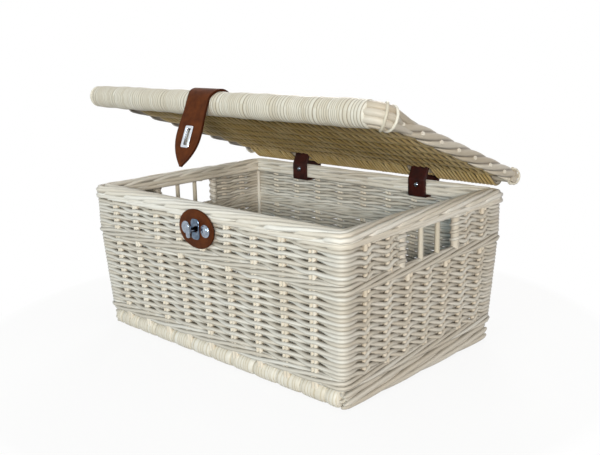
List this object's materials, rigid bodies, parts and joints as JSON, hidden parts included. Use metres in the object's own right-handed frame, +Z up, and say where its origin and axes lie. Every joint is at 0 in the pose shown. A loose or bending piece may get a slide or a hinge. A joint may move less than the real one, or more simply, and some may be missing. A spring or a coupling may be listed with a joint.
{
  "type": "lidded willow basket",
  "caption": "Rectangular woven willow basket with a hinged lid, hand openings in the short sides, and a leather strap that closes over a turn lock.",
  "frame": {"origin": "on the ground under the middle of the base", "axes": "+X along the long side to the right seen from the front, +Y from the front to the back where the lid is hinged, +Z up"},
  "size_m": [0.4496, 0.3008, 0.2916],
  "materials": {
    "willow": "peeled willow rods, dry and matt",
    "pale_willow": "split willow skein, satin",
    "leather": "smooth red-brown strap leather",
    "hinge_leather": "dark oiled strap leather",
    "chrome": "bright nickel plating"
  },
  "bodies": {
    "basket": {"base_panel": "willow", "base_left_edge": "willow", "base_right_edge": "willow", "front_left_corner_post": "willow", "front_right_corner_post": "willow", "back_left_corner_post": "willow", "back_right_corner_post": "willow", "front_weave": "willow", "back_weave": "willow", "left_lower_weave": "willow", "right_lower_weave": "willow", "left_front_upper_weave": "willow", "left_back_upper_weave": "willow", "right_front_upper_weave": "willow", "right_back_upper_weave": "willow", "bottom_wale": "willow", "middle_wale": "willow", "front_border": "willow", "back_border": "willow", "left_border": "willow", "right_border": "willow", "base_front_roll": "pale_willow", "base_back_roll": "pale_willow", "left_front_opening_upright": "pale_willow", "left_back_opening_upright": "pale_willow", "right_front_opening_upright": "pale_willow", "right_back_opening_upright": "pale_willow", "left_front_opening_stake": "pale_willow", "left_back_opening_stake": "pale_willow", "right_front_opening_stake": "pale_willow", "right_back_opening_stake": "pale_willow", "left_hinge_strap": "hinge_leather", "right_hinge_strap": "hinge_leather", "left_hinge_rivet": "chrome", "right_hinge_rivet": "chrome", "lock_patch": "leather", "lock_plate": "chrome", "lock_left_rivet": "chrome", "lock_right_rivet": "chrome"},
    "lid": {"lid_front_roll": "pale_willow", "lid_back_roll": "pale_willow", "lid_front_left_binding": "pale_willow", "lid_front_right_binding": "pale_willow", "lid_back_left_binding": "pale_willow", "lid_back_right_binding": "pale_willow", "lid_panel": "willow", "lid_left_edge": "willow", "lid_right_edge": "willow", "strap_tail": "leather", "strap_back_rivet": "chrome", "strap_front_rivet": "chrome"},
    "tongue": {"strap_tongue": "leather", "slot_eyelet": "chrome", "slot_washer": "chrome"},
    "knob": {"lock_knob": "chrome"}
  },
  "joints": [
    {"name": "lid_hinge", "type": "hinge", "parent": "basket", "child": "lid", "pos_m": [0, 0.133, 0.1889], "axis": [-1, 0, 0], "range_deg": [-19.5, 90.5]},
    {"name": "strap_flex", "type": "hinge", "parent": "lid", "child": "tongue", "pos_m": [0, -0.12726, 0.28106], "axis": [-1, 0, 0], "range_deg": [-3, 57.5], "stiffness_Nm_per_rad": 0.15},
    {"name": "knob_turn", "type": "hinge", "parent": "basket", "child": "knob", "pos_m": [0, -0.145, 0.15], "axis": [0, -1, 0], "range_deg": [0, 90]}
  ]
}
